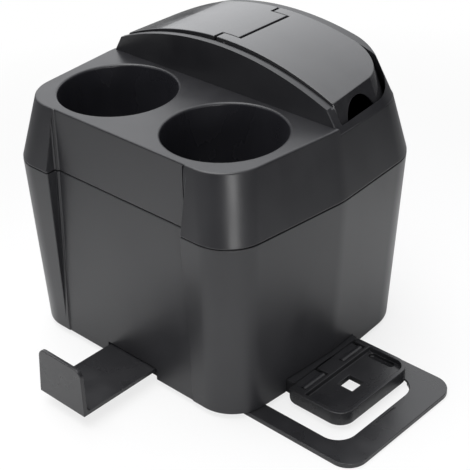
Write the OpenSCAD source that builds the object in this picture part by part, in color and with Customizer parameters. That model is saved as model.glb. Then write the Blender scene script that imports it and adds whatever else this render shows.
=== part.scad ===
// Car trash bin: a tapered bin body, a top housing with two cup wells and an arched
// dome closed by two butterfly lids, and a base from which a seat hook, a floor-mat
// loop and a folding clip tray come out. +X runs along the row of cups to the tray,
// +Y runs from the cups to the lids, +Z is up and the floor is at z = 0.

/* [Body] */
// Height of the body's lower edge above the floor
body_bottom_z = 3.6; // [3.6:0.1:6]
// Height of the seam between the body and the top housing
seam_z = 131; // [125:0.1:145]
// Thickness of the moulded walls
wall = 2.5; // [1.8:0.1:3.2]
// Half width of the body's foot at its widest
foot_wide_x = 104; // [100:0.5:110]
// Half width of the body's foot at the front corners
foot_front_x = 100; // [96:0.5:104]
// Half width of the body's foot at the rear corners
foot_rear_x = 100.4; // [96:0.5:104]
// Distance from the origin to the front of the foot
foot_front = 89.7; // [86:0.1:92]
// Distance from the origin to the rear of the foot
foot_rear = 90; // [86:0.1:95]
// Top of the inner floor that carries the liner
floor_z = 18; // [17:0.1:24]

/* [Seam outline] */
// Half width at the seam at its widest
seam_wide_x = 111.6; // [108:0.1:118]
// Half width at the seam at the front corners
seam_front_x = 104.8; // [102:0.1:110]
// Half width at the seam at the rear corners
seam_rear_x = 107.4; // [103:0.1:112]
// Distance from the origin to the front columns at the seam
seam_front = 92.3; // [91:0.1:97]
// Distance from the origin to the rear at the seam
seam_rear = 98; // [92:0.1:101]
// How far the collar stands proud of the body at the seam
seam_proud = 0.2; // [0:0.1:1.5]
// Radius of the front corners
front_corner_r = 28; // [20:0.5:32]
// Radius of the rear corners
rear_corner_r = 36; // [28:0.5:40]

/* [Front panel] */
// Half width of the recessed front panel at the seam
panel_half_top = 61.6; // [50:0.1:64]
// Half width of the recessed front panel at the foot
panel_half_foot = 63.8; // [52:0.1:68]
// Distance from the origin to the recessed front panel at the foot
panel_foot_front = 89.2; // [87:0.1:89.4]
// Distance from the origin to the recessed front panel at the seam
panel_seam_front = 84; // [83:0.1:88]
// Width of the raised band along each side of the front panel
panel_band_w = 2.5; // [1.5:0.1:4]
// Height of the raised bands above the front panel
panel_band_h = 1.2; // [0.6:0.1:2]

/* [Deck and cups] */
// Height of the cup deck
deck_z = 175.6; // [165:0.1:190]
// Thickness of the deck
deck_t = 2.6; // [2:0.1:4]
// Distance from the origin to the deck's front edge
deck_front = 83; // [80:0.5:88]
// Half width of the deck at the front corners
deck_front_x = 96.1; // [92:0.1:100]
// Half width of the deck at the foot of the dome
deck_wide_x = 101.8; // [99:0.1:106]
// Half width of the housing at the rear corners, at deck height
deck_rear_x = 98.2; // [94:0.1:101]
// Radius of the deck's front corners
deck_corner_r = 29.6; // [22:0.2:34]
// Distance of each cup well from the middle
cup_x = 48.6; // [46:0.1:50]
// Distance of the row of cup wells in front of the origin
cup_front = 36; // [34:0.1:40]
// Radius of a cup well at its mouth
cup_r = 40; // [36:0.1:42]
// Radius of a cup well at its floor
cup_floor_r = 37; // [33:0.1:39]
// Depth of a cup well below the deck
cup_depth = 68; // [50:1:75]
// Radius of the rounded lip round each cup well
cup_lip_r = 1.8; // [1:0.1:2.4]
// Wall of a cup well
cup_wall = 2; // [1.6:0.1:2.4]

/* [Dome] */
// Distance of the dome's front wall behind the origin
dome_front = 8.4; // [8:0.1:12]
// Distance of the dome's rear wall behind the origin, at deck height
dome_rear = 87.5; // [84:0.1:90]
// Height of the crown of the dome's front rim
dome_crown_z = 205.1; // [198:0.1:215]
// Radius of the dome's arch
dome_r = 240; // [200:1:280]
// Height of the ledge from which the dome's sides rise
dome_foot_z = 171.8; // [168:0.1:174]
// Half width of the dome's foot at its front
dome_foot_x = 102.2; // [99:0.1:104]
// Half width of the dome's foot at the rear corners
dome_foot_rear_x = 99; // [96:0.1:101]
// Inward lean of the dome's sides for each millimetre of height
dome_lean = 0.63; // [0.4:0.01:0.8]
// Radius of the dome's rear corners
dome_corner_r = 30; // [24:0.5:34]
// Width of the front rim's upper step
rim_step_w = 4.2; // [3:0.1:5]
// Depth of the rim's lower step
rim_step_h = 1; // [0.6:0.1:1.6]

/* [Lids] */
// Height of the crown of the closed lids
lid_crown_z = 206.8; // [200:0.1:216]
// Radius of the lids' arch
lid_r = 228; // [190:1:280]
// Distance of the lids' front edge behind the origin
lid_front = 15.6; // [15:0.1:18]
// Distance of the lids' rear edge behind the origin
lid_rear = 79.8; // [76:0.1:82]
// Half width across the closed lids at the foot of their lips
lid_foot_x = 99; // [96:0.1:101]
// Inward lean of the lids' lips for each millimetre of height
lid_lean = 0.45; // [0.3:0.01:0.7]
// Thickness of the lid plates
lid_t = 2.2; // [1.8:0.1:2.8]
// Depth of the skirts along the lids' front and rear edges
lid_skirt = 8; // [6:0.5:12]
// Gap between the lids and the rim round them
lid_gap = 1.1; // [0.6:0.1:2]
// Radius of the lids' rear corners
lid_corner_r = 26; // [20:0.5:30]
// Distance of the thumb notches behind the origin
thumb_y = 39; // [34:0.5:44]
// Radius of the thumb notches
thumb_r = 15; // [10:0.5:18]
// Depth of the hinge rod below the crown of the lids
rod_drop = 4.3; // [4.2:0.1:5]
// Radius of the hinge rod
rod_r = 1.6; // [1.2:0.1:1.8]
// Reach of each lid's knuckles past the hinge line
knuckle_reach = 6.3; // [5:0.1:6.5]
// Length of each end knuckle of the right lid
ear_l = 8; // [6:0.5:10]

/* [Seat hook] */
// Half width of the hook strap
strap_half = 21.9; // [16:0.1:22]
// Half width of the hook's face at its top
hook_top_half = 20.6; // [14:0.1:22]
// Lean of the hook's face towards the bin, in degrees
hook_lean = 2.8; // [0:0.1:5]
// Sideways place of the hook strap
strap_x = 2.9; // [0:0.1:6]
// Thickness of the hook strap
strap_t = 2.8; // [2:0.1:3.2]
// Height of the strap's underside above the floor
strap_z = 8.8; // [8.6:0.1:9.4]
// Distance from the origin to the hook's outer face
hook_front = 151.1; // [130:0.1:165]
// Height of the hook's top edge
hook_top_z = 42.6; // [30:0.1:55]
// Radius of the hook's top corners
hook_corner_r = 5.5; // [3:0.1:8]
// Length of strap that stays inside the body
strap_inside = 20; // [16:1:28]
// Travel of the strap into the body
strap_travel = 55; // [40:1:56]

/* [Mat loop] */
// Thickness of the mat loop
loop_t = 3.4; // [2.6:0.1:3.4]
// Reach of the mat loop beyond the widest part of the foot
loop_out = 77.2; // [70:0.1:86]
// Distance from the origin to the loop's front edge
loop_front = 74.5; // [70:0.1:76]
// Distance from the origin to the loop's rear edge
loop_rear = 34.5; // [30:0.1:38]
// Radius of the loop's outer corners
loop_corner_r = 14; // [8:0.5:18]
// Width of the loop's outer bar
loop_end_bar = 19.2; // [14:0.1:24]
// Width of the loop's front arm
loop_front_arm = 13.5; // [10:0.1:16]
// Width of the loop's rear arm
loop_rear_arm = 15.5; // [10:0.1:18]
// Width of the loop's inner cross bar
loop_inner_bar = 15; // [10:0.5:18]
// Travel of the loop into the base
loop_travel = 70; // [50:1:70]

/* [Clip tray] */
// Height of the tray's underside above the floor
tray_bottom_z = 3.9; // [3.9:0.1:5]
// Height of the tray's rim above the floor
tray_top_z = 13.9; // [12:0.1:14.4]
// Length of the tray beyond its hinge line
tray_length = 39.2; // [34:0.1:44]
// Distance from the origin to the tray's front edge
tray_front = 49.4; // [44:0.1:54]
// Distance from the origin to the tray's rear edge
tray_rear = 23.5; // [20:0.1:27]
// Radius of the tray's outer corners
tray_corner_r = 11; // [6:0.5:14]
// Width of the tray's rim
tray_rim = 3; // [2:0.1:4]
// Depth of the tray's recess below its rim
tray_recess = 3.4; // [2:0.1:4]
// Side of the square hole in the tray
tray_hole = 12; // [8:0.1:14]
// Distance of the tray's hinge line outside the widest part of the foot
hinge_out = 10.5; // [9.5:0.1:12]
// Radius of the hinge pins
pin_r = 1.2; // [0.9:0.1:1.4]
// Radius of the hinge barrels on the base
barrel_r = 2.7; // [2.2:0.1:3]
// Length of each hinge barrel
barrel_l = 20; // [14:0.5:20]

/* [Feet and screws] */
// Radius of the front feet
front_foot_r = 5; // [4:0.1:6]
// Radius of the rear feet
rear_foot_r = 8; // [6:0.1:9]
// Radius of the screw heads under the base
screw_head_r = 3.4; // [2.5:0.1:4]
// Radius of the screw shanks
screw_r = 1.6; // [1.2:0.1:2]

/* [Clearances] */
// Gap between parts that slide or swing past each other
slip = 0.4; // [0.3:0.05:0.6]
// Radial gap of a pin or rod in the hole that turns on it
run_gap = 0.05; // [0.03:0.01:0.1]

/* [Hidden] */

body_color = [0.16, 0.16, 0.17];
lid_color = [0.25, 0.25, 0.27];
steel_color = [0.7, 0.7, 0.72];
rubber_color = [0.06, 0.06, 0.06];

slab = 0.01;
past = 1;
wide_r = 60;
wide_seam_y = 4;
wide_foot_y = 0;
fine = 96;
rib_up = 8;
rib_down = 8;
rib_w = 6;
rib_draft = 0.6;

// Base plate, the island that slides inside the loop, and the strap channel.
base_t = 2.8;
loop_end = foot_wide_x + loop_out;
loop_play = 1.5;
island_x0 = -7.5;
island_x1 = loop_end - loop_end_bar - loop_travel - loop_corner_r - 2;
island_front = loop_front - loop_front_arm - slip;
island_rear = loop_rear - loop_rear_arm - slip;
island_corner_r = 5;
lip_w = 2;
lip_h = 1.2;
loop_inner_x = island_x0 - loop_play - loop_inner_bar;
strap_rear = -foot_front + strap_inside + strap_travel + strap_inside;
channel_wall = 2.4;
channel_half = strap_half + slip;
channel_bottom_z = strap_z - slip;
channel_top_z = strap_z + strap_t + slip;
floor_under_z = floor_z - wall;
notch_side = 2.4;
notch_top_z = channel_top_z + slip;
stop_w = 4;
stop_h = 1.2;
stop_in = 6;
channel_set_back = 3;
boss_wall = 2;
boss_gap = 0.2;
screw_head_t = 1.8;
foot_chamfer = 0.8;

// Tray hinge: the nose turns on a radius that just clears the loop under it.
hinge_x = foot_wide_x + hinge_out;
tray_end = hinge_x + tray_length;
nose_r = 6.6;
nose_corner_r = 3.5;
hinge_z = tray_bottom_z + nose_r;
ledge_x = hinge_x - nose_r - 0.5;
ledge_top_z = tray_top_z;
ledge_root = 34;
ledge_notch = 18;
barrel_web = 3.2;
barrel_1 = -tray_front + 8.4;
barrel_2 = -2;
ledge_front = 1.6 - barrel_1;
pocket_gap = 0.8;
pocket_end_gap = 0.8;
pin_1_end = barrel_2 - 4;
pin_proud = 0.8;
tray_floor = 2.4;
tray_skin = 1.6;
hinge_strip = 6;
hole_from_end = 26.7;
hole_from_front = 28.4;
trough = [20, 5];
trough_from_end = 31;
groove = [1, 23.5, 0.6];
groove_place = [17, 33];

// Lid hinge.
rod_z = lid_crown_z - rod_drop;
rod_front = dome_front + wall;
rod_rear = dome_rear - wall - 1;
knuckle_r = 3.6;
split_x = knuckle_reach + 2;
opening_inset = 2.6;
opening_front = lid_front - 0.5;
opening_rear = lid_rear + lid_gap;
opening_corner_r = lid_corner_r + lid_gap;
lid_crease_x = 84;
boss_half = 5;

lid_notch_up = 9;
lid_foot_clear = 1;

// Feet and screws keep their distance from the edge of the foot.
front_foot_at = [foot_front_x - 30, foot_front - 8.7];
rear_foot_at = [foot_rear_x - 25.4, foot_rear - 20];
feet = [[-front_foot_at[0], -front_foot_at[1], front_foot_r], [front_foot_at[0], -front_foot_at[1], front_foot_r],
    [-rear_foot_at[0], rear_foot_at[1], rear_foot_r], [rear_foot_at[0], rear_foot_at[1], rear_foot_r]];
screws = [[-foot_wide_x + 16, -30], [foot_wide_x - 16, -58], [-50, foot_rear - 24], [50, foot_rear - 24]];

// Boxes that cut right across the bin reach this far from its middle.
far = foot_wide_x + 60;

// One thin layer of the plan outline; inset moves every side inwards alike.
module layer(z, front, rear, front_x, mid_x, mid_y, rear_x, front_r, rear_r, inset) {
    translate([0, 0, z])
        linear_extrude(height = slab)
            plan(front, rear, front_x, mid_x, mid_y, rear_x, front_r, rear_r, inset);
}

module plan(front, rear, front_x, mid_x, mid_y, rear_x, front_r, rear_r, inset) {
    hull()
        for (s = [-1, 1]) {
            translate([s * (front_x - front_r), -front + front_r]) circle(r = front_r - inset, $fn = 48);
            translate([s * (mid_x - wide_r), mid_y]) circle(r = wide_r - inset, $fn = 96);
            translate([s * (rear_x - rear_r), rear - rear_r]) circle(r = rear_r - inset, $fn = 48);
        }
}

module seam_layer(z, inset) {
    layer(z, seam_front, seam_rear, seam_front_x, seam_wide_x, wide_seam_y, seam_rear_x,
        front_corner_r, rear_corner_r, inset);
}

module foot_layer(z, inset) {
    layer(z, foot_front, foot_rear, foot_front_x, foot_wide_x, wide_foot_y, foot_rear_x,
        front_corner_r, rear_corner_r, inset);
}

module deck_layer(z, inset) {
    layer(z, deck_front, dome_rear, deck_front_x, deck_wide_x, dome_front, deck_rear_x,
        deck_corner_r, dome_corner_r, inset);
}

// The room in front of the recessed panel between two levels, each given as its
// height, the panel's distance from the origin and its half width. The room is grown
// by the wall inside, and is shallower over the raised band along each side.
module panel_room(low, high, grow) {
    for (step = [[panel_band_w, 0], [0, panel_band_h]])
        intersection() {
            translate([-far, 0, 0])
                rotate([90, 0, 90])
                    linear_extrude(height = 2 * far)
                        polygon([[-low[1] + grow - step[1], low[0]], [-high[1] + grow - step[1], high[0]],
                            [-far, high[0]], [-far, low[0]]]);
            rotate([90, 0, 0])
                linear_extrude(height = far)
                    polygon([[-low[2] - grow + step[0], low[0]], [low[2] + grow - step[0], low[0]],
                        [high[2] + grow - step[0], high[0]], [-high[2] - grow + step[0], high[0]]]);
        }
}

module body_panel_room(grow) {
    panel_room([body_bottom_z - past, panel_foot_front, panel_half_foot],
        [seam_z + slab, panel_seam_front, panel_half_top], grow);
}

// The same on the collar, where the panel leans back to the deck's edge.
module collar_panel_room(grow) {
    panel_room([seam_z - slab, panel_seam_front, panel_half_top],
        [deck_z + slab, deck_front - 0.4, panel_half_top], grow);
}

module bin_body() {
    color(body_color)
    difference() {
        hull() {
            foot_layer(body_bottom_z, 0);
            seam_layer(seam_z - slab, seam_proud);
        }
        body_panel_room(0);
        difference() {
            hull() {
                foot_layer(body_bottom_z - slab, wall);
                seam_layer(seam_z, seam_proud + wall);
            }
            body_panel_room(wall);
            translate([-far, -far, floor_under_z]) cube([2 * far, 2 * far, wall]);
        }
        // Notch for the strap in the front wall.
        translate([strap_x - strap_half - notch_side, -far, body_bottom_z - past])
            cube([2 * (strap_half + notch_side), far - foot_front + 4 * wall,
                notch_top_z - body_bottom_z + past]);
        // Notch for the hinge ledge in the side wall.
        translate([foot_wide_x - ledge_notch, -ledge_front - slip, body_bottom_z - past])
            cube([far, ledge_front + tray_rear + 2 * slip, ledge_top_z + slip - body_bottom_z + past]);
    }
}

// Bars of the given height and radius at the four screws, standing at z.
module screw_holes(z, height, r) {
    for (p = screws)
        translate([p[0], p[1], z]) cylinder(r = r, h = height, $fn = 32);
}

// An arched prism along Y whose top lies at crown, sunk by inset.
module arch(crown, r, inset, y0, y1) {
    translate([0, y1, 0])
        rotate([90, 0, 0])
            linear_extrude(height = y1 - y0)
                intersection() {
                    translate([0, crown - r]) circle(r = r - inset, $fn = 256);
                    translate([-far, seam_z]) square([2 * far, crown - seam_z + past]);
                }
}

// The leaning block that bounds the dome or the lids in plan.
module leaning_block(foot_x, rear_x, rear, corner_r, lean, front, inset) {
    rise = lid_crown_z + 2 - dome_foot_z;
    hull()
        for (level = [0, 1]) {
            z = dome_foot_z + rise * level;
            shift = lean * (z - dome_foot_z);
            translate([0, 0, z])
                linear_extrude(height = slab)
                    hull()
                        for (s = [-1, 1]) {
                            translate([s * (foot_x - shift - inset - 1), front + inset + 1]) circle(r = 1, $fn = 24);
                            translate([s * (rear_x - shift - corner_r), rear - corner_r])
                                circle(r = corner_r - inset, $fn = 96);
                        }
        }
}

module dome_solid(inset) {
    intersection() {
        arch(dome_crown_z, dome_r, inset, dome_front - past, dome_rear + past);
        leaning_block(dome_foot_x, dome_foot_rear_x, dome_rear, dome_corner_r, dome_lean, dome_front, inset);
    }
}

module lid_opening() {
    translate([0, 0, dome_foot_z - 10])
        linear_extrude(height = dome_crown_z - dome_foot_z + 20)
            hull()
                for (s = [-1, 1]) {
                    translate([s * (dome_foot_x - opening_inset - 1), opening_front + 1]) circle(r = 1, $fn = 24);
                    translate([s * (dome_foot_rear_x - opening_inset - opening_corner_r),
                        opening_rear - opening_corner_r])
                        circle(r = opening_corner_r, $fn = 96);
                }
}

// Outer and inner forms of a cup well, turned about its axis.
module cup_form(grow) {
    rotate_extrude($fn = fine)
        polygon([[0, -cup_depth - grow], [cup_floor_r + grow, -cup_depth - grow],
            [cup_r + grow, -cup_lip_r], [cup_r + grow, 0], [0, 0]]);
}

// The rolled lip that rounds the mouth of a cup well.
module cup_lip_cut() {
    rotate_extrude($fn = fine)
        difference() {
            translate([cup_r - past, -cup_lip_r]) square([cup_lip_r + past, cup_lip_r + past]);
            translate([cup_r + cup_lip_r, -cup_lip_r]) circle(r = cup_lip_r, $fn = 32);
        }
}

module at_cups() {
    for (s = [-1, 1])
        translate([s * cup_x, -cup_front, deck_z]) children();
}

module cup_housing() {
    color(body_color)
    difference() {
        union() {
            difference() {
                hull() {
                    seam_layer(seam_z, 0);
                    deck_layer(deck_z - slab, 0);
                }
                collar_panel_room(0);
                difference() {
                    hull() {
                        seam_layer(seam_z - slab, wall + seam_proud);
                        deck_layer(deck_z - deck_t, wall);
                    }
                    collar_panel_room(wall);
                }
                // Behind the deck the collar ends in the ledge that carries the lid frame.
                translate([-far, dome_front + wall, dome_foot_z]) cube([2 * far, far, 20]);
            }
            locating_ribs();
            at_cups() cup_form(cup_wall);
        }
        at_cups() cup_form(0);
        at_cups() cup_lip_cut();
    }
}

module lid_frame() {
    color(body_color)
    difference() {
        union() {
            difference() {
                dome_solid(0);
                dome_solid(wall);
                // The front wall stands on the deck, the rest on the ledge.
                translate([-far, dome_front - past, dome_foot_z - 10])
                    cube([2 * far, wall + past, deck_z - dome_foot_z + 10]);
            }
            hinge_bosses();
        }
        difference() {
            lid_opening();
            hinge_bosses();
        }
        rim_step();
        rod_bore(0);
    }
}

// The lower step along the inner edge of the front rim.
module rim_step() {
    difference() {
        translate([-far, dome_front + rim_step_w, deck_z + deck_t])
            cube([2 * far, opening_front - dome_front - rim_step_w, dome_crown_z - deck_z]);
        arch(dome_crown_z, dome_r, rim_step_h, dome_front, opening_front + past);
    }
}

// Ribs inside the collar that drop into the body and keep the housing in place.
module locating_ribs() {
    for (s = [-1, 1]) {
        mirror([s < 0 ? 1 : 0, 0, 0]) {
            translate([seam_wide_x, wide_seam_y, 0]) locating_rib();
            translate([seam_front_x, -seam_front + front_corner_r, 0]) locating_rib();
            translate([seam_rear_x, seam_rear - rear_corner_r, 0]) locating_rib();
            translate([panel_half_top, seam_rear, 0]) rotate(90) locating_rib();
        }
    }
}

// One rib, drawn against the outline at x = 0 with the wall towards +X.
module locating_rib() {
    into_wall = seam_proud + wall - 0.8;
    clear = seam_proud + wall + slip + rib_draft;
    translate([0, wall / 2, 0])
        rotate([90, 0, 0])
            linear_extrude(height = wall)
                polygon([[-into_wall, seam_z + 1], [-into_wall - 1, seam_z + rib_up], [-clear - rib_w, seam_z + rib_up],
                    [-clear - rib_w, seam_z - rib_down], [-clear - 1, seam_z - rib_down], [-clear, seam_z - rib_down / 2],
                    [-clear, seam_z + 1]]);
}

// Blocks under the front and rear rims that hold the hinge rod.
module hinge_bosses() {
    boss_h = rod_r + 2.4;
    for (span = [[dome_front + wall - past, lid_front - 0.7], [lid_rear + 0.7, dome_rear - wall + 0.2]])
        translate([-boss_half, span[0], rod_z - boss_h])
            cube([2 * boss_half, span[1] - span[0], boss_h + 0.5]);
}

module rod_bore(gap) {
    translate([0, rod_front, rod_z])
        rotate([-90, 0, 0])
            cylinder(r = rod_r + gap, h = rod_rear - rod_front, $fn = 48);
}

module hinge_rod() {
    color(steel_color) rod_bore(0);
}

module lid_solid(inset) {
    intersection() {
        arch(lid_crown_z, lid_r, inset, lid_front - past, lid_rear + past);
        leaning_block(lid_foot_x, dome_foot_rear_x - 3.2, lid_rear, lid_corner_r, lid_lean, lid_front, inset);
    }
}

// The shell from which both lids are cut: plate, lips and end skirts.
module lid_shell() {
    difference() {
        lid_solid(0);
        lid_solid(lid_t);
        // The end skirts stop short; only the outer lips reach down to the rim.
        intersection() {
            arch(lid_crown_z, lid_r, lid_skirt, lid_front - past, lid_rear + past);
            translate([-lid_crease_x, lid_front - past, seam_z])
                cube([2 * lid_crease_x, lid_rear - lid_front + 2 * past, lid_crown_z - seam_z]);
        }
        translate([-far, 0, dome_foot_z - 10]) cube([2 * far, far, 10 + lid_foot_clear]);
        for (s = [-1, 1])
            translate([s * lid_foot_x, thumb_y, deck_z + lid_notch_up - thumb_r])
                rotate([0, 90, 0]) cylinder(r = thumb_r, h = 40, center = true, $fn = 64);
    }
}

module knuckle(y0, y1) {
    translate([0, y0, rod_z])
        rotate([-90, 0, 0])
            cylinder(r = knuckle_r, h = y1 - y0, $fn = 48);
}

module turning_bore() {
    translate([0, lid_front - past, rod_z])
        rotate([-90, 0, 0])
            cylinder(r = rod_r + run_gap, h = lid_rear - lid_front + 2 * past, $fn = 48);
}

// A tall box that keeps the part of the shell between two Y and two X planes.
module keep(x0, x1, y0, y1) {
    translate([x0, y0, seam_z]) cube([x1 - x0, y1 - y0, lid_crown_z - seam_z + past]);
}

module left_lid() {
    mid_y0 = lid_front + ear_l + slip;
    mid_y1 = lid_rear - ear_l - slip;
    color(lid_color)
    difference() {
        union() {
            intersection() {
                lid_shell();
                union() {
                    keep(-far, -split_x, lid_front - past, lid_rear + past);
                    keep(-split_x - past, knuckle_reach, mid_y0, mid_y1);
                }
            }
            knuckle(mid_y0, mid_y1);
        }
        turning_bore();
    }
}

module right_lid() {
    color(lid_color)
    difference() {
        union() {
            intersection() {
                lid_shell();
                union() {
                    keep(split_x, far, lid_front - past, lid_rear + past);
                    keep(-knuckle_reach, split_x + past, lid_front - past, lid_front + ear_l);
                    keep(-knuckle_reach, split_x + past, lid_rear - ear_l, lid_rear + past);
                }
            }
            knuckle(lid_front, lid_front + ear_l);
            knuckle(lid_rear - ear_l, lid_rear);
        }
        turning_bore();
    }
}

// Plan of the island: a rectangle with rounded corners, grown on all sides.
module island_plan(grow) {
    translate([island_x0 - grow, -island_front - grow])
        rounded_rect(island_x1 - island_x0 + 2 * grow, island_front + island_rear + 2 * grow, island_corner_r);
}

module rounded_rect(w, d, r) {
    translate([r, 0]) square([w - 2 * r, d]);
    translate([0, r]) square([w, d - 2 * r]);
    for (x = [r, w - r], y = [r, d - r])
        translate([x, y]) circle(r = r, $fn = 48);
}

module base_cover() {
    color(body_color)
    difference() {
        union() {
            // Plate inside the body's skirt.
            translate([0, 0, body_bottom_z])
                linear_extrude(height = base_t)
                    plan(foot_front, foot_rear, foot_front_x, foot_wide_x, wide_foot_y, foot_rear_x,
                        front_corner_r, rear_corner_r, wall + slip);
            // Island on the floor inside the loop, with a lip under the arms.
            linear_extrude(height = body_bottom_z + slab) island_plan(0);
            linear_extrude(height = lip_h) island_plan(lip_w);
            strap_channel();
            hinge_ledge();
            for (p = screws)
                translate([p[0], p[1], body_bottom_z])
                    cylinder(r = screw_head_r + boss_wall, h = floor_under_z - body_bottom_z, $fn = 32);
        }
        // Passage for the strap, with a groove for its stop rib.
        translate([strap_x - channel_half, -foot_front - past, channel_bottom_z])
            cube([2 * channel_half, 2 * foot_front, channel_top_z - channel_bottom_z]);
        translate([strap_x - strap_half + stop_in - slip, strap_rear - stop_w - slip, channel_bottom_z - stop_h])
            cube([2 * (strap_half - stop_in + slip), strap_travel + stop_w + 2 * slip, stop_h + past]);
        // Room for the recessed panel of the body.
        body_panel_room(wall + slip);
        screw_holes(body_bottom_z - past, floor_under_z, screw_r);
        screw_holes(body_bottom_z - past, screw_head_t + boss_gap + past, screw_head_r + boss_gap);
        hinge_pin_bore(barrel_1, pin_1_end, 0);
        hinge_pin_bore(barrel_2, tray_rear, 0);
    }
}

// A flat sleeve along Y round the strap, under the body's floor.
module strap_channel() {
    rear_end = strap_rear + strap_travel + 4;
    front_end = -foot_front + wall + channel_set_back;
    translate([strap_x - channel_half - channel_wall, front_end, body_bottom_z])
        cube([2 * (channel_half + channel_wall), rear_end - front_end,
            floor_under_z - body_bottom_z - boss_gap]);
}

// The ledge that comes out through the side wall and carries the tray's hinge.
module hinge_ledge() {
    ledge_bottom_z = body_bottom_z + 0.1;
    translate([foot_wide_x - ledge_root, -ledge_front, ledge_bottom_z])
        cube([ledge_x - foot_wide_x + ledge_root, ledge_front + tray_rear, ledge_top_z - ledge_bottom_z]);
    for (y = [barrel_1, barrel_2]) {
        translate([hinge_x, y, hinge_z])
            rotate([-90, 0, 0]) cylinder(r = barrel_r, h = barrel_l, $fn = 48);
        translate([ledge_x - past, y, hinge_z - barrel_web / 2])
            cube([hinge_x - ledge_x + past - pin_r - 0.3, barrel_l, barrel_web]);
    }
}

module hinge_pin_bore(y0, y1, gap) {
    translate([hinge_x, y0 - past, hinge_z])
        rotate([-90, 0, 0]) cylinder(r = pin_r + gap, h = y1 - y0 + 2 * past, $fn = 48);
}

module tray_pin(y0, y1) {
    color(steel_color)
    translate([hinge_x, y0 - pin_proud, hinge_z])
        rotate([-90, 0, 0]) cylinder(r = pin_r, h = y1 - y0 + pin_proud, $fn = 48);
}

module tray_pin_front() {
    tray_pin(barrel_1, pin_1_end - past);
}

module tray_pin_rear() {
    tray_pin(barrel_2, tray_rear - past);
}

module tray_plan(inset) {
    translate([hinge_x, -tray_front + inset])
        rounded_rect(tray_end - hinge_x - inset, tray_front + tray_rear - 2 * inset, tray_corner_r - inset);
    translate([hinge_x, -tray_front + inset])
        square([tray_corner_r, tray_front + tray_rear - 2 * inset]);
}

// What a rounded corner takes off the tray's hinge end; side is 1 at its front, -1 at its rear.
module nose_corner(y, side) {
    middle_y = y + side * nose_corner_r;
    linear_extrude(height = 2 * tray_top_z)
        difference() {
            translate([hinge_x - nose_r - past, min(y - side * past, middle_y)])
                square([nose_corner_r + past, nose_corner_r + past]);
            translate([hinge_x - nose_r + nose_corner_r, middle_y]) circle(r = nose_corner_r, $fn = 32);
        }
}

module clip_tray() {
    pocket_end = hinge_x + barrel_r + pocket_gap;
    recess_z = tray_top_z - tray_recess;
    color(body_color)
    difference() {
        union() {
            translate([0, 0, tray_bottom_z])
                linear_extrude(height = tray_top_z - tray_bottom_z) tray_plan(0);
            intersection() {
                translate([hinge_x, -tray_front, hinge_z])
                    rotate([-90, 0, 0]) cylinder(r = nose_r, h = tray_front + tray_rear, $fn = 64);
                translate([hinge_x - nose_r, -tray_front, tray_bottom_z])
                    cube([nose_r + past, tray_front + tray_rear, tray_top_z - tray_bottom_z]);
            }
        }
        // Recess inside the rim, from the hinge strip outwards.
        translate([0, 0, recess_z])
            linear_extrude(height = tray_recess + past)
                intersection() {
                    tray_plan(tray_rim);
                    translate([hinge_x + hinge_strip, -far]) square([far, 2 * far]);
                }
        // Square hole.
        translate([tray_end - hole_from_end, -tray_front + hole_from_front, 0])
            cube([tray_hole, tray_hole, 2 * tray_top_z]);
        // Long trough along the rear rim.
        translate([tray_end - trough_from_end, tray_rear - tray_rim - trough[1] - 0.5, recess_z - tray_floor])
            linear_extrude(height = tray_floor + past) rounded_rect(trough[0], trough[1], trough[1] / 2 - 0.1);
        nose_corner(-tray_front, 1);
        nose_corner(tray_rear, -1);
        // Pockets round the base's two barrels.
        for (y = [barrel_1, barrel_2])
            translate([hinge_x - 2 * nose_r, y - pin_proud - pocket_end_gap, tray_bottom_z - past])
                cube([pocket_end - hinge_x + 2 * nose_r, barrel_l + pin_proud + 2 * pocket_end_gap,
                    2 * tray_top_z]);
        hinge_pin_bore(barrel_1, tray_rear, run_gap);
        // Hollow underside that leaves a thin floor.
        translate([0, 0, tray_bottom_z - past])
            linear_extrude(height = recess_z - tray_floor - tray_skin - tray_bottom_z + past)
                intersection() {
                    tray_plan(tray_rim);
                    translate([hinge_x + hinge_strip + 4, -far]) square([far, 2 * far]);
                }
    }
}

module mat_plate() {
    length = loop_end - loop_inner_x;
    width = loop_front + loop_rear;
    color(body_color)
    difference() {
        linear_extrude(height = loop_t)
            difference() {
                translate([loop_inner_x, -loop_front]) rounded_rect(length, width, loop_corner_r);
                loop_opening_plan(0);
            }
        // Rebate under the arms that runs over the island's lip.
        translate([0, 0, -past])
            linear_extrude(height = lip_h + slip + past)
                intersection() {
                    loop_opening_plan(lip_w);
                    translate([loop_inner_x + loop_inner_bar - lip_w, -far])
                        square([length - loop_end_bar - loop_inner_bar - 6, 2 * far]);
                }
        // Shallow groove in the outer bar.
        translate([loop_end - groove_place[0], -groove_place[1], loop_t - groove[2]])
            cube([groove[0], groove[1], groove[2] + past]);
    }
}

module loop_opening_plan(grow) {
    x0 = loop_inner_x + loop_inner_bar;
    x1 = loop_end - loop_end_bar;
    y0 = -loop_front + loop_front_arm;
    y1 = loop_rear - loop_rear_arm;
    hull() {
        for (y = [y0 + 3, y1 - 3])
            translate([x0 + 3, y]) circle(r = 3 + grow, $fn = 32);
        for (y = [y0 + loop_corner_r, y1 - loop_corner_r])
            translate([x1 - loop_corner_r, y]) circle(r = loop_corner_r + grow, $fn = 64);
    }
}

module hook_strap() {
    color(body_color)
    translate([strap_x, 0, 0]) {
        intersection() {
            translate([-strap_half, 0, 0])
                rotate([90, 0, 90])
                    linear_extrude(height = 2 * strap_half) hook_side();
            translate([0, strap_rear + past, strap_z])
                rotate([90, 0, 0])
                    linear_extrude(height = strap_rear + hook_front + 2 * past) hook_face();
        }
        // Stop rib under the inner end.
        translate([-strap_half + stop_in, strap_rear - stop_w, strap_z - stop_h])
            cube([2 * (strap_half - stop_in), stop_w, stop_h + slab]);
    }
}

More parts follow.
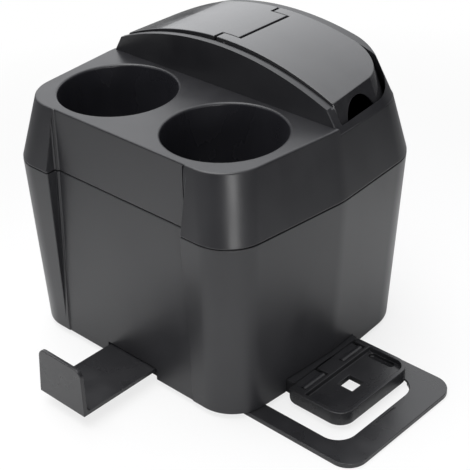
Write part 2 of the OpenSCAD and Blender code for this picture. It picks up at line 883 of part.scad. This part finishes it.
// Side view of the strap and its leaning face, with a rounded inner bend.
module hook_side() {
    bend_r = 3;
    bend_steps = 6;
    height = hook_top_z - strap_z;
    face_t = strap_t / cos(hook_lean);
    bend_z = strap_z + strap_t + bend_r;
    bend_y = -hook_front + face_t + (bend_z - strap_z) * tan(hook_lean) + bend_r / cos(hook_lean);
    polygon(concat(
        [[-hook_front, strap_z], [strap_rear, strap_z], [strap_rear, strap_z + strap_t]],
        [for (i = [0 : bend_steps])
            let (turn = 270 - i * (90 + hook_lean) / bend_steps)
            [bend_y + bend_r * cos(turn), bend_z + bend_r * sin(turn)]],
        [[-hook_front + face_t + height * tan(hook_lean), hook_top_z],
            [-hook_front + height * tan(hook_lean), hook_top_z]]));
}

// Front view of the hook, from the strap's underside up.
module hook_face() {
    height = hook_top_z - strap_z;
    translate([-strap_half, 0]) square([2 * strap_half, strap_t]);
    hull() {
        translate([-strap_half, strap_t - slab]) square([2 * strap_half, slab]);
        for (s = [-1, 1])
            translate([s * (hook_top_half - hook_corner_r), height - hook_corner_r])
                circle(r = hook_corner_r, $fn = 48);
    }
}

module rubber_foot(i) {
    p = feet[i - 1];
    color(rubber_color)
    translate([p[0], p[1], 0])
        rotate_extrude($fn = 48)
            polygon([[0, 0], [p[2] - foot_chamfer, 0], [p[2], foot_chamfer], [p[2], body_bottom_z],
                [0, body_bottom_z]]);
}

module base_screw(i) {
    p = screws[i - 1];
    head_z = body_bottom_z + boss_gap;
    color(steel_color)
    translate([p[0], p[1], head_z]) {
        cylinder(r = screw_head_r, h = screw_head_t, $fn = 48);
        cylinder(r = screw_r, h = floor_under_z - head_z, $fn = 32);
    }
}

bin_body();
cup_housing();
lid_frame();
left_lid();
right_lid();
hinge_rod();
base_cover();
hook_strap();
mat_plate();
clip_tray();
tray_pin_front();
tray_pin_rear();
rubber_foot(1);  // foot_1
rubber_foot(2);  // foot_2
rubber_foot(3);  // foot_3
rubber_foot(4);  // foot_4
base_screw(1);  // base_screw_1
base_screw(2);  // base_screw_2
base_screw(3);  // base_screw_3
base_screw(4);  // base_screw_4
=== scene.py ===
# %% [markdown]
# # A car trash bin with two cup wells
#
# The real bin is a tapered black box of satin plastic. A flared housing with two cup
# wells sits on it, and behind the wells rises a low dome with two glossy lids that open
# like wings. A seat hook, a floor-mat loop and a small clip tray come out at the base.
#
# The CAD model already holds every piece at its real size. This script loads it as a
# fixed frame, models the pieces that show again with rounded edges and clean surfaces,
# and gives each surface a procedural finish.

# %% Load the frame
import math

import bmesh
import bpy
from mathutils import Matrix, Vector


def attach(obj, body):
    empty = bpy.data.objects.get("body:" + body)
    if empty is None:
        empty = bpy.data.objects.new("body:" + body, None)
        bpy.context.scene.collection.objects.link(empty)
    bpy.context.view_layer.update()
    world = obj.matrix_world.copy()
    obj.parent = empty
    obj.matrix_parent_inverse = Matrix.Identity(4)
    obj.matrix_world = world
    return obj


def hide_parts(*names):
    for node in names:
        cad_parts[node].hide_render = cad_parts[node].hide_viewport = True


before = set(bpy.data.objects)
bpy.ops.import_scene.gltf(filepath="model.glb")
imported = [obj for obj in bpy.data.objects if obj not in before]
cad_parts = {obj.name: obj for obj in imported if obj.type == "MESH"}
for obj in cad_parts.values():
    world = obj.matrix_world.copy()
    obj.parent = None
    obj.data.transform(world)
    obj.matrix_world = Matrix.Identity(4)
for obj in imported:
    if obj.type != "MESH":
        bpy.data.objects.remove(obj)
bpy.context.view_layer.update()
MM = 0.001
print("nodes:", len(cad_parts))

# %% [markdown]
# ## Helpers for modelling by hand
#
# Every piece is shaped with Blender's own mesh operators. They act on whatever is
# selected, so each step starts from an empty selection and then picks its own piece.

# %% Selection helpers
def clear_selection():
    """Leaves edit mode and deselects every object."""
    if bpy.context.object and bpy.context.object.mode != "OBJECT":
        bpy.ops.object.mode_set(mode="OBJECT")
    bpy.ops.object.select_all(action="DESELECT")


def activate(piece):
    """Makes one piece the selected and active object."""
    clear_selection()
    piece.select_set(True)
    bpy.context.view_layer.objects.active = piece


def edit_all(piece):
    """Enters edit mode with the whole mesh selected."""
    activate(piece)
    bpy.ops.object.mode_set(mode="EDIT")
    bpy.ops.mesh.select_all(action="SELECT")


# %% Modifier helpers
SHARP_ANGLE = math.radians(32)


def apply_modifier(piece, kind, **settings):
    """Adds a modifier with the given settings and applies it."""
    activate(piece)
    modifier = piece.modifiers.new(kind.lower(), kind)
    for name, value in settings.items():
        setattr(modifier, name, value)
    bpy.ops.object.modifier_apply(modifier=modifier.name)


def settle(piece):
    """Bakes an object's place, turn and size into its mesh."""
    activate(piece)
    bpy.ops.object.transform_apply(location=True, rotation=True, scale=True)


def cut(piece, tool, operation="DIFFERENCE"):
    """Cuts one piece with another and throws the tool away."""
    apply_modifier(piece, "BOOLEAN", object=tool, operation=operation, solver="EXACT")
    bpy.data.objects.remove(tool, do_unlink=True)


def soften(piece, width, segments=2, clamp=True):
    """Rounds the sharp edges, shades the rest smooth and keeps the large flat faces flat."""
    apply_modifier(piece, "BEVEL", width=width, segments=segments,
                   limit_method="ANGLE", angle_limit=SHARP_ANGLE,
                   harden_normals=False, use_clamp_overlap=clamp)
    activate(piece)
    bpy.ops.object.shade_smooth_by_angle(angle=SHARP_ANGLE)
    apply_modifier(piece, "WEIGHTED_NORMAL", keep_sharp=True, weight=80)


def box_piece(name, low, high):
    """A plain block between two corners in millimetres, as a start or as a cutting tool."""
    low, high = ([value * MM for value in corner] for corner in (low, high))
    clear_selection()
    bpy.ops.mesh.primitive_cube_add(size=1, location=[(a + b) / 2 for a, b in zip(low, high)])
    piece = bpy.context.object
    piece.name = name
    piece.scale = [b - a for a, b in zip(low, high)]
    settle(piece)
    return piece


# %% [markdown]
# ## The camera
#
# The photograph was taken from the front right and from above, with a lens that is long
# but still shows some perspective. The angles and the distance below were fitted to
# the straight edges and to the two round cup mouths. The camera leans by about two
# degrees, as the photograph does.

# %% Camera
azimuth, elevation, lean = (math.radians(a) for a in (44.345, 31.355, -2.464))
aim = Vector((3.76, 15.0, 59.15)) * MM
distance = 908.1 * MM
lens_in_pixels, picture_width = 1284.29, 470

level = Vector((math.cos(azimuth), math.sin(azimuth), 0))
back = Vector((math.sin(azimuth) * math.cos(elevation),
               -math.cos(azimuth) * math.cos(elevation),
               math.sin(elevation)))
upright = back.cross(level)
across = level * math.cos(lean) + upright * math.sin(lean)
upward = upright * math.cos(lean) - level * math.sin(lean)
camera_data = bpy.data.cameras.new("camera")
camera_data.sensor_width = 36
camera_data.lens = camera_data.sensor_width * lens_in_pixels / picture_width
camera_data.clip_start, camera_data.clip_end = 0.01, 50
camera = bpy.data.objects.new("camera", camera_data)
bpy.context.scene.collection.objects.link(camera)
camera.matrix_world = Matrix.Translation(aim + back * distance) @ Matrix(
    (across, upward, back)).transposed().to_4x4()
bpy.context.scene.camera = camera
print("lens", round(camera_data.lens, 1), "mm, distance", round(distance, 3), "m")

# %% [markdown]
# ## Shader arithmetic
#
# A shader is sums and products of patterns. The small class below wraps a socket, so
# that such sums are written as on paper. Every other node is made by one function.

# %% Shader arithmetic
class Field:
    """A number that changes from place to place."""

    def __init__(self, tree, socket):
        self.tree, self.socket = tree, socket

    def _join(self, operation, other):
        node = add_node(self.tree, "ShaderNodeMath", {"operation": operation}, {0: self, 1: other})
        return Field(self.tree, node.outputs[0])

    def __add__(self, other):
        return self._join("ADD", other)

    def __mul__(self, other):
        return self._join("MULTIPLY", other)

    __radd__, __rmul__ = __add__, __mul__

    def ramp(self, low, high, out_low=0.0, out_high=1.0):
        """Stretches the range low to high onto out_low to out_high, and clamps."""
        node = add_node(self.tree, "ShaderNodeMapRange", Value=self,
                        From_Min=low, From_Max=high, To_Min=out_low, To_Max=out_high)
        return Field(self.tree, node.outputs["Result"])

    def tint(self, dark, light):
        """A colour between two colours."""
        node = add_node(self.tree, "ShaderNodeMix", {"data_type": "RGBA"},
                        Factor=self, A=(*dark, 1), B=(*light, 1))
        return node.outputs["Result"]


def add_node(tree, kind, settings=None, numbered=None, **named):
    """Makes a node: its settings first, then a value or a link for each socket given.

    Sockets that share one name are given by their number, all others by name.
    """
    node = tree.nodes.new(kind)
    for name, value in (settings or {}).items():
        setattr(node, name, value)
    chosen = [(node.inputs[number], value) for number, value in (numbered or {}).items()]
    for name, value in named.items():
        title = name.replace("_", " ")
        chosen.append((next(s for s in node.inputs if s.name == title and s.enabled), value))
    for socket, value in chosen:
        if isinstance(value, Field):
            value = value.socket
        if isinstance(value, bpy.types.NodeSocket):
            tree.links.new(value, socket)
        else:
            socket.default_value = value
    return node


def new_material(name):
    """An empty node material and its tree."""
    material = bpy.data.materials.new(name)
    material.use_nodes = True
    material.node_tree.nodes.clear()
    return material, material.node_tree


# %% [markdown]
# ## Floor, background and light
#
# A product photograph of this kind is taken on white paper with large soft lamps. The
# floor is almost white and keeps the soft shadow. Black plastic shows mostly what it
# mirrors: the deck and the lids mirror what is above and behind the bin. So the room is
# brightest there, and it darkens smoothly towards the horizon.

# %% Floor
LIGHT_POOL = (0.20, -0.16, 0)

clear_selection()
bpy.ops.mesh.primitive_plane_add(size=14, location=(0, 0, -0.0002))
floor = bpy.context.object
floor.name = "floor"
floor_material, tree = new_material("white_paper")
rays = add_node(tree, "ShaderNodeLightPath")
place = add_node(tree, "ShaderNodeTexCoord").outputs["Object"]
reach = add_node(tree, "ShaderNodeVectorMath", {"operation": "DISTANCE"}, {0: place, 1: LIGHT_POOL})
# Painted light falloff: the paper's colour darkens with distance from the light pool, so the plastic
# mirrors a floor that grows darker further off.
far_away = Field(tree, reach.outputs["Value"]).ramp(0.32, 0.80)
painted_falloff_tone = far_away.tint((0.72, 0.72, 0.72), (0.18, 0.18, 0.18))
paper = add_node(tree, "ShaderNodeBsdfDiffuse", Color=painted_falloff_tone)
white = add_node(tree, "ShaderNodeEmission", Color=(1, 1, 1, 1))
seen_as_white = Field(tree, rays.outputs["Is Camera Ray"]) * (0.78 + 0.22 * far_away)
blend = add_node(tree, "ShaderNodeMixShader", None,
                 {0: seen_as_white, 1: paper.outputs[0], 2: white.outputs[0]})
add_node(tree, "ShaderNodeOutputMaterial", Surface=blend.outputs[0])
floor.data.materials.append(floor_material)

# %% World
GLOW_DIRECTION = (-0.50, 0.50, 0.70)
GLOW, DIM = 1.75, 0.16

world = bpy.data.worlds.new("studio")
bpy.context.scene.world = world
world.use_nodes = True
tree = world.node_tree
tree.nodes.clear()
direction = add_node(tree, "ShaderNodeTexCoord").outputs["Generated"]
towards = add_node(tree, "ShaderNodeVectorMath", {"operation": "DOT_PRODUCT"},
                   {0: direction, 1: GLOW_DIRECTION})
glow = Field(tree, towards.outputs["Value"]).ramp(0.42, 0.97)
lit = add_node(tree, "ShaderNodeBackground", Color=(0.97, 0.98, 1, 1), Strength=glow * GLOW + DIM)
seen = add_node(tree, "ShaderNodeBackground", Color=(1, 1, 1, 1), Strength=1)
rays = add_node(tree, "ShaderNodeLightPath")
blend = add_node(tree, "ShaderNodeMixShader", None,
                 {0: rays.outputs["Is Camera Ray"], 1: lit.outputs[0], 2: seen.outputs[0]})
add_node(tree, "ShaderNodeOutputWorld", Surface=blend.outputs[0])
bpy.context.scene.view_settings.view_transform = "Standard"


# %% Lamps
LAMP_TARGET = Vector((0, 0, 0.1))


def lamp(name, place, size, power):
    """A rectangular soft lamp that looks at the bin."""
    data = bpy.data.lights.new(name, "AREA")
    data.shape = "RECTANGLE"
    data.size, data.size_y = size
    data.energy = power
    holder = bpy.data.objects.new(name, data)
    bpy.context.scene.collection.objects.link(holder)
    holder.location = place
    holder.rotation_euler = (LAMP_TARGET - Vector(place)).to_track_quat("-Z", "Y").to_euler()


lamp("top_softbox", (-0.15, -0.35, 1.5), (1.8, 1.1), 26)
lamp("front_softbox", (-0.6, -1.6, 0.9), (1.0, 1.2), 2.5)
lamp("side_softbox", (1.7, -0.3, 0.9), (0.9, 1.2), 3)
lamp("corner_strip", (1.25, -0.92, 0.2), (0.5, 0.6), 7)
print("lamps:", len(bpy.data.lights))

# %% [markdown]
# A black card stands at the right, out of the picture. The dark ends of the lids
# mirror it.

# %% Black card
clear_selection()
bpy.ops.mesh.primitive_plane_add(size=1, location=(0.95, 0.72, 0.42))
card = bpy.context.object
card.name = "black_card"
card.rotation_euler = (Vector((0, 0, 0.2)) - card.location).to_track_quat("Z", "Y").to_euler()
card_material, tree = new_material("black_paper")
add_node(tree, "ShaderNodeOutputMaterial",
         Surface=add_node(tree, "ShaderNodeBsdfDiffuse", Color=(0.01, 0.01, 0.01, 1)).outputs[0])
card.data.materials.append(card_material)


# %% Finish class
class Finish:
    """A material with one Principled shader and patterns in Object coordinates."""

    def __init__(self, name, **fixed):
        self.material, self.tree = new_material(name)
        self.shader = add_node(self.tree, "ShaderNodeBsdfPrincipled", **fixed)
        add_node(self.tree, "ShaderNodeOutputMaterial", Surface=self.shader.outputs[0])
        self.coords = add_node(self.tree, "ShaderNodeTexCoord").outputs["Object"]

    def noise(self, scale, detail, stretch=(1, 1, 1)):
        """Cloudy noise; scale is in waves per metre."""
        mapping = add_node(self.tree, "ShaderNodeMapping", Vector=self.coords, Scale=stretch)
        node = add_node(self.tree, "ShaderNodeTexNoise", Vector=mapping.outputs[0], Scale=scale,
                        Detail=detail, Roughness=0.5)
        return Field(self.tree, node.outputs["Fac"])

    def cells(self, scale):
        """Distance to the nearest of many scattered points."""
        node = add_node(self.tree, "ShaderNodeTexVoronoi", Vector=self.coords, Scale=scale)
        return Field(self.tree, node.outputs["Distance"])

    def set(self, socket, value):
        """Links a field or a colour to a socket of the shader."""
        source = value.socket if isinstance(value, Field) else value
        self.tree.links.new(source, self.shader.inputs[socket])

    def bump(self, height, strength, depth):
        """Raises the surface by a field."""
        node = add_node(self.tree, "ShaderNodeBump", Height=height, Strength=strength, Distance=depth)
        self.tree.links.new(node.outputs[0], self.shader.inputs["Normal"])


# %% [markdown]
# ### Satin plastic
#
# The body is moulded in a mould with a very fine spark texture. It scatters the light
# a little and leaves a soft sheen. Fine cells make the texture, and slow clouds vary
# the sheen as handling does.

# %% Satin plastics
def satin_plastic(name, dark, light, sheen, grain):
    """Fine-grained plastic between two colours; sheen is its roughness."""
    finish = Finish(name, IOR=1.5)
    clouds = finish.noise(14, 3)
    smears = finish.noise(55, 4, stretch=(1, 1, 0.35))
    finish.set("Base Color", (clouds * 0.6 + smears * 0.4).ramp(0.35, 0.65).tint(dark, light))
    finish.set("Roughness", (clouds + smears * 0.5).ramp(0.55, 0.95, sheen - 0.05, sheen + 0.06))
    texture = finish.cells(2600) + finish.noise(5200, 2) * 0.5
    finish.bump(texture, grain, 0.00004)
    return finish.material


body_plastic = satin_plastic(
    "satin_black_plastic", (0.013, 0.013, 0.0150), (0.020, 0.020, 0.0225), 0.36, 0.35)
slide_plastic = satin_plastic(
    "satin_slide_plastic", (0.013, 0.013, 0.0145), (0.021, 0.021, 0.023), 0.27, 0.25)
cup_plastic = satin_plastic(
    "smooth_cup_plastic", (0.014, 0.014, 0.017), (0.020, 0.020, 0.024), 0.26, 0.12)


# %% [markdown]
# ### Glossy plastic, steel and rubber
#
# The lids come from a polished mould: they mirror the room, with faint wiping marks in
# the gloss. The rods are drawn steel with fine lines along their length, and the feet
# are dull rubber with a dusty bloom.

# %% Other finishes
def glossy_plastic():
    """Polished plastic with a clear coat and faint wiping marks."""
    finish = Finish("glossy_black_plastic", IOR=1.52, Coat_Weight=0.42, Coat_Roughness=0.04)
    wipes = finish.noise(26, 4, stretch=(0.5, 2.0, 1))
    specks = finish.noise(900, 2)
    finish.set("Base Color", wipes.ramp(0.35, 0.65).tint((0.018, 0.018, 0.020), (0.026, 0.026, 0.028)))
    finish.set("Roughness", (wipes + specks * 0.15).ramp(0.4, 0.75, 0.10, 0.20))
    finish.bump(finish.noise(18, 1), 0.25, 0.0002)
    return finish.material


def drawn_steel():
    """Bright steel with fine lines along Y."""
    finish = Finish("drawn_steel", Metallic=1.0)
    lines = finish.noise(900, 3, stretch=(1, 0.02, 1))
    finish.set("Base Color", lines.ramp(0.3, 0.7).tint((0.42, 0.42, 0.43), (0.62, 0.62, 0.63)))
    finish.set("Roughness", lines.ramp(0.3, 0.7, 0.22, 0.38))
    finish.bump(lines, 0.2, 0.00003)
    return finish.material


def foot_rubber():
    """Dull rubber with a dusty bloom."""
    finish = Finish("foot_rubber", IOR=1.5)
    bloom = finish.noise(180, 4)
    finish.set("Base Color", bloom.ramp(0.4, 0.7).tint((0.010, 0.010, 0.010), (0.030, 0.029, 0.028)))
    finish.set("Roughness", bloom.ramp(0.3, 0.7, 0.7, 0.9))
    finish.bump(finish.noise(2400, 2), 0.4, 0.00005)
    return finish.material


lid_plastic = glossy_plastic()
steel = drawn_steel()
rubber = foot_rubber()
print("finishes:", len(bpy.data.materials))


# %% Dressing helper
def dress(piece, material, body, record_slot, *nodes):
    """Gives a piece its finish and the body it rides on, and hides the CAD nodes it stands for."""
    piece.data.materials.clear()
    piece.data.materials.append(material)
    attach(piece, body)
    if nodes:
        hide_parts(*nodes)
    piece.data.calc_loop_triangles()
    print(piece.name, len(piece.data.loop_triangles), "triangles")


def softened_copy(node, name, width, segments=2, clamp=True):
    """A copy of a CAD node with its triangles merged to clean faces and its edges rounded."""
    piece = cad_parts[node].copy()
    piece.data = piece.data.copy()
    piece.name = name
    piece.parent = None
    piece.matrix_world = Matrix.Identity(4)
    bpy.context.scene.collection.objects.link(piece)
    edit_all(piece)
    bpy.ops.mesh.remove_doubles(threshold=0.00001)
    bpy.ops.mesh.dissolve_limited(angle_limit=math.radians(0.6))
    bpy.ops.object.mode_set(mode="OBJECT")
    if piece.data.has_custom_normals:
        bpy.ops.mesh.customdata_custom_splitnormals_clear()
    soften(piece, width, segments, clamp)
    return piece


# %% [markdown]
# ## The moving lids and the frame round them
#
# The arched forms are the CAD solids themselves. A copy of each is merged, so that its
# loose triangles become clean faces, and its edges are rounded as the mould rounds them.

# %% Lids and frame
for lid in ("left_lid", "right_lid"):
    cover = softened_copy(lid, lid + "_cover", 0.6 * MM, 3, clamp=False)
    dress(cover, lid_plastic, lid, "lid_plastic", lid)
dome_frame = softened_copy("lid_frame", "dome_frame", 0.5 * MM, 3)
dress(dome_frame, body_plastic, "bin", "body_plastic", "lid_frame")

# %% [markdown]
# ## The bin and its housing
#
# Both are tapered boxes with large rounded corners. A rounded corner is a circle in
# plan, so each form starts as circles at its foot and at its top, and the convex hull
# operator stretches a skin round them. A slightly smaller hull cuts the inside away.

# %% Skins stretched round circles
ROUND_STEPS = 96


def skin(name, circles):
    """A closed form stretched round circles given as (x, y, z, radius) in millimetres."""
    clear_selection()
    rings = []
    for x, y, z, radius in circles:
        bpy.ops.mesh.primitive_circle_add(vertices=ROUND_STEPS, radius=radius * MM,
                                          location=(x * MM, y * MM, z * MM))
        rings.append(bpy.context.object)
    for ring in rings:
        ring.select_set(True)
    bpy.context.view_layer.objects.active = rings[0]
    bpy.ops.object.join()
    piece = bpy.context.object
    piece.name = name
    settle(piece)
    edit_all(piece)
    bpy.ops.mesh.convex_hull(join_triangles=True)
    bpy.ops.mesh.dissolve_limited(angle_limit=math.radians(0.3))
    bpy.ops.mesh.normals_make_consistent(inside=False)
    bpy.ops.object.mode_set(mode="OBJECT")
    return piece


def outline(z, front, middle_y, rear, halves, radii, inset=0):
    """The six plan circles of one level: front, widest and rear corners on both sides."""
    circles = []
    for side in (-1, 1):
        for half, y, radius in zip(halves, (-front + radii[0], middle_y, rear - radii[2]), radii):
            circles.append((side * (half - radius), y, z, radius - inset))
    return circles


# %% [markdown]
# The sizes below are the ones of the CAD source, in millimetres. A panel is given at its
# lower and its upper end: height, distance in front of the middle, and half width.

# %% Levels and panels
WALL = 2.5
FOOT_Z, SEAM_Z, DECK_Z = 3.6, 131, 175.6
SEAM_GAP, SEAM_STEP = 0.4, 0.2
BODY_RADII, DECK_RADII = (28, 60, 36), (29.6, 60, 30)
BAND_WIDTH, BAND_HEIGHT = 2.5, 1.2
BODY_PANEL = ((2.6, 89.2, 63.8), (132, 84, 61.6))
COLLAR_PANEL = ((130, 84, 61.6), (177, 82.6, 61.6))


def foot_level(z, inset=0):
    return outline(z, 89.7, 0, 90, (100, 104, 100.4), BODY_RADII, inset)


def seam_level(z, inset=0):
    return outline(z, 92.3, 4, 98, (104.8, 111.6, 107.4), BODY_RADII, inset)


def deck_level(z, inset=0):
    return outline(z, 83, 8.4, 87.5, (96.1, 101.8, 98.2), DECK_RADII, inset)


def panel_block(low, high, grow, band):
    """A block in front of a panel, made larger by grow and smaller by the band."""
    block = box_piece("panel_block", (-1, -1, -1), (1, 1, 1))
    for vert in block.data.vertices:
        z, distance, half = high if vert.co.z > 0 else low
        width = half + grow - band[0]
        depth = -distance + grow - band[1] if vert.co.y > 0 else -125
        vert.co = Vector((math.copysign(width, vert.co.x), depth, z)) * MM
    return block


def cut_panel(piece, low, high, grow=0):
    """Cuts the recessed panel, then the shallower step along each side that leaves the band."""
    for band in ((BAND_WIDTH, 0), (0, BAND_HEIGHT)):
        cut(piece, panel_block(low, high, grow, band))


# %% Bin shell
bin_shell = skin("bin_shell", foot_level(FOOT_Z) + seam_level(SEAM_Z - SEAM_GAP, SEAM_STEP))
cut_panel(bin_shell, *BODY_PANEL)
hollow = skin("hollow", foot_level(FOOT_Z - 0.05, WALL) + seam_level(SEAM_Z, SEAM_STEP + WALL))
cut_panel(hollow, *BODY_PANEL, WALL)
cut(hollow, box_piece("floor_slab", (-150, -150, 15.5), (150, 150, 18)))
cut(bin_shell, hollow)
cut(bin_shell, box_piece("strap_notch", (-20.6, -120, 0), (26.4, -79.7, 12.4)))
cut(bin_shell, box_piece("ledge_notch", (86, -43, 0), (116, 23.9, 14.3)))
soften(bin_shell, 0.6 * MM, 3, clamp=False)
dress(bin_shell, body_plastic, "bin", "body_plastic", "bin_body")

# %% [markdown]
# ### Cup wells
#
# A cup well is round, so its form is half a cross-section spun about an axis. The
# outer form is joined to the deck. The inner form, with the rolled lip at its mouth and
# a rounded corner at its floor, is cut out afterwards.

# %% Spun forms
def arc(centre_r, centre_z, radius, start, end, steps):
    """Points of a circular arc in a cross-section, in degrees."""
    points = []
    for step in range(steps + 1):
        angle = math.radians(start + (end - start) * step / steps)
        points.append((centre_r + radius * math.cos(angle), centre_z + radius * math.sin(angle)))
    return points


def spun(name, profile, place):
    """A closed form spun about the vertical through a place from (radius, height) points."""
    clear_selection()
    bpy.ops.mesh.primitive_circle_add(vertices=len(profile), radius=1)
    piece = bpy.context.object
    piece.name = name
    bpy.ops.object.mode_set(mode="EDIT")
    shape = bmesh.from_edit_mesh(piece.data)
    for vert, (radius, height) in zip(shape.verts, profile):
        vert.co = Vector((radius, 0, height)) * MM
    bpy.ops.mesh.select_all(action="SELECT")
    bpy.ops.mesh.spin(steps=ROUND_STEPS, angle=math.tau, center=(0, 0, 0), axis=(0, 0, 1),
                      use_normal_flip=False)
    bpy.ops.mesh.select_all(action="SELECT")
    bpy.ops.mesh.remove_doubles(threshold=0.00001)
    bpy.ops.mesh.select_all(action="SELECT")
    bpy.ops.mesh.normals_make_consistent(inside=False)
    bpy.ops.object.mode_set(mode="OBJECT")
    piece.location = [c * MM for c in place]
    settle(piece)
    return piece


# %% [markdown]
# The cross-sections of a cup are (radius, height) points in millimetres, with height 0
# at the deck. The faces inside a cup are picked by their distance from its axis and by
# their height, and take a smoother plastic.

# %% Housing
CUP_PLACES = ((-48.6, -36, DECK_Z), (48.6, -36, DECK_Z))
CUP_OUTSIDE = [(0, -70), (39, -70), (42, -1.8), (42, -0.8), (0, -0.8)]
CUP_FLOOR_CORNER = arc(33, -64, 4, -90, 2, 6)
CUP_LIP = arc(41.8, -1.8, 1.8, 180, 90, 6)
CUP_INSIDE = [(0, -68), (33, -68)] + CUP_FLOOR_CORNER + CUP_LIP + [(41.8, 3), (0, 3)]
CUP_REACH, CUP_LOWEST, CUP_HIGHEST = 40.4, 107.4, 175.2

housing = skin("housing", seam_level(SEAM_Z) + deck_level(DECK_Z))
cut_panel(housing, *COLLAR_PANEL)
hollow = skin("hollow", seam_level(SEAM_Z - 0.1, WALL) + deck_level(173, WALL))
cut_panel(hollow, *COLLAR_PANEL, WALL)
cut(housing, hollow)
cut(housing, box_piece("ledge_room", (-150, 10.9, 171.8), (150, 120, 190)))
for place in CUP_PLACES:
    cut(housing, spun("cup_outside", CUP_OUTSIDE, place), "UNION")
for place in CUP_PLACES:
    cut(housing, spun("cup_inside", CUP_INSIDE, place))
soften(housing, 1.2 * MM, 4, clamp=False)
dress(housing, body_plastic, "bin", "body_plastic", "cup_housing")
housing.data.materials.append(cup_plastic)
for face in housing.data.polygons:
    centre = face.center / MM
    for place in CUP_PLACES:
        near_axis = (centre.xy - Vector(place[:2])).length < CUP_REACH
        if near_axis and CUP_LOWEST < centre.z < CUP_HIGHEST:
            face.material_index = 1

# %% [markdown]
# ## Slides, tray and base
#
# The hook, the loop, the tray and the base are copies of the CAD solids too, merged and
# rounded like the lids. Their plastic is a little smoother than the body's, but for the
# base.

# %% Slides, tray and base
for node, name, body, width in (("hook_strap", "seat_hook", "hook", 0.5),
                                ("mat_plate", "mat_loop", "loop", 0.4),
                                ("clip_tray", "tray", "tray", 0.5)):
    piece = softened_copy(node, name, width * MM, 3, clamp=False)
    dress(piece, slide_plastic, body, "slide_plastic", node)
base = softened_copy("base_cover", "base", 0.3 * MM)
dress(base, body_plastic, "bin", "body_plastic", "base_cover")

# %% CAD nodes that stay
kept = {"hinge_rod": steel, "tray_pin_front": steel, "tray_pin_rear": steel}
for i in range(1, 5):
    kept[f"foot_{i}"] = rubber
    kept[f"base_screw_{i}"] = steel
for node, material in kept.items():
    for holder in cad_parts[node].material_slots:
        holder.material = material
